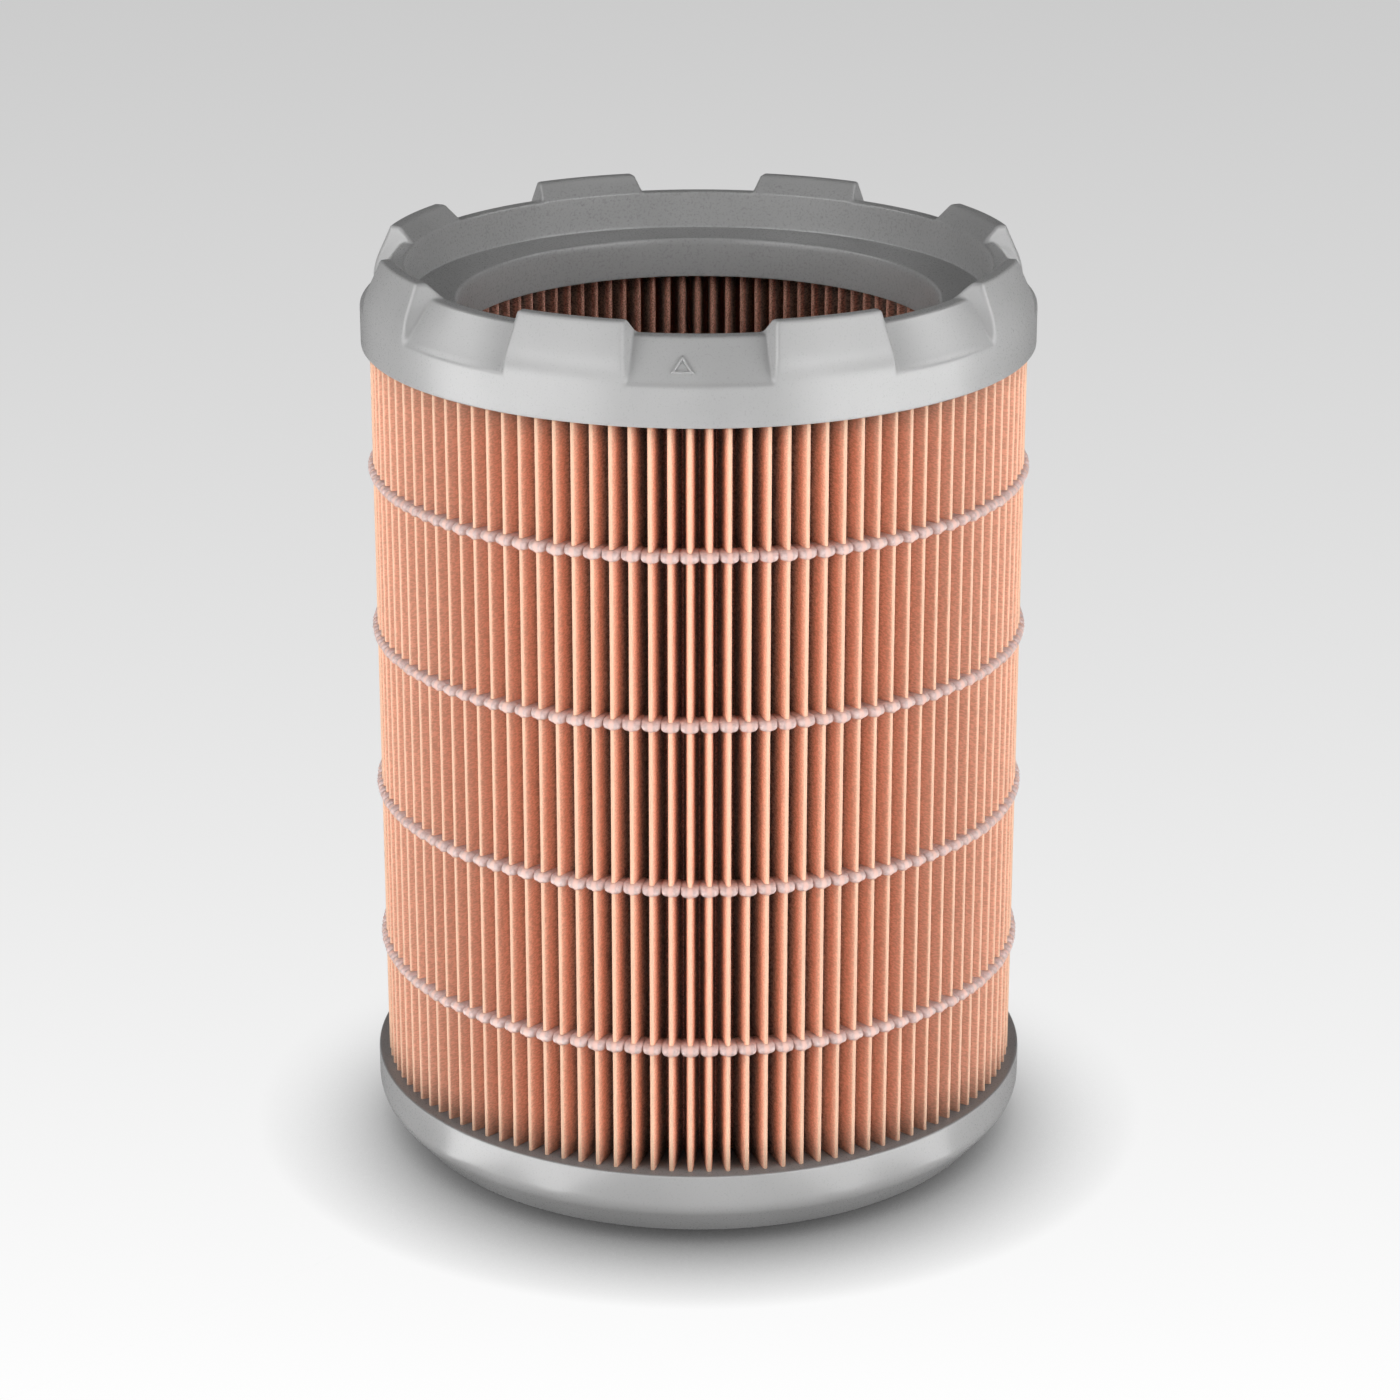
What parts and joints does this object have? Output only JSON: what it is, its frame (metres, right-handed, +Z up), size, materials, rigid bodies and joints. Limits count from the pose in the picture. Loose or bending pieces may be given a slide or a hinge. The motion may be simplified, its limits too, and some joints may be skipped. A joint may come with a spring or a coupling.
{
  "type": "pleated filter element",
  "caption": "Round pleated paper filter element between a closed moulded cap and an open cap with a toothed crown and a central bore.",
  "frame": {"origin": "middle of the closed cap's flat face, on which the element stands", "axes": "+Z up along the element's axis to the open cap, -Y towards the viewer of the picture, +X to the right"},
  "size_m": [0.165, 0.165, 0.2278],
  "materials": {
    "moulded_cap": "matt moulded foam",
    "filter_paper": "resin-treated paper",
    "hot_melt": "milky hot melt"
  },
  "bodies": {
    "root": {"open_end_cap": "moulded_cap", "closed_end_cap": "moulded_cap", "pleated_media": "filter_paper", "glue_bead_1": "hot_melt", "glue_bead_2": "hot_melt", "glue_bead_3": "hot_melt", "glue_bead_4": "hot_melt"}
  },
  "joints": []
}
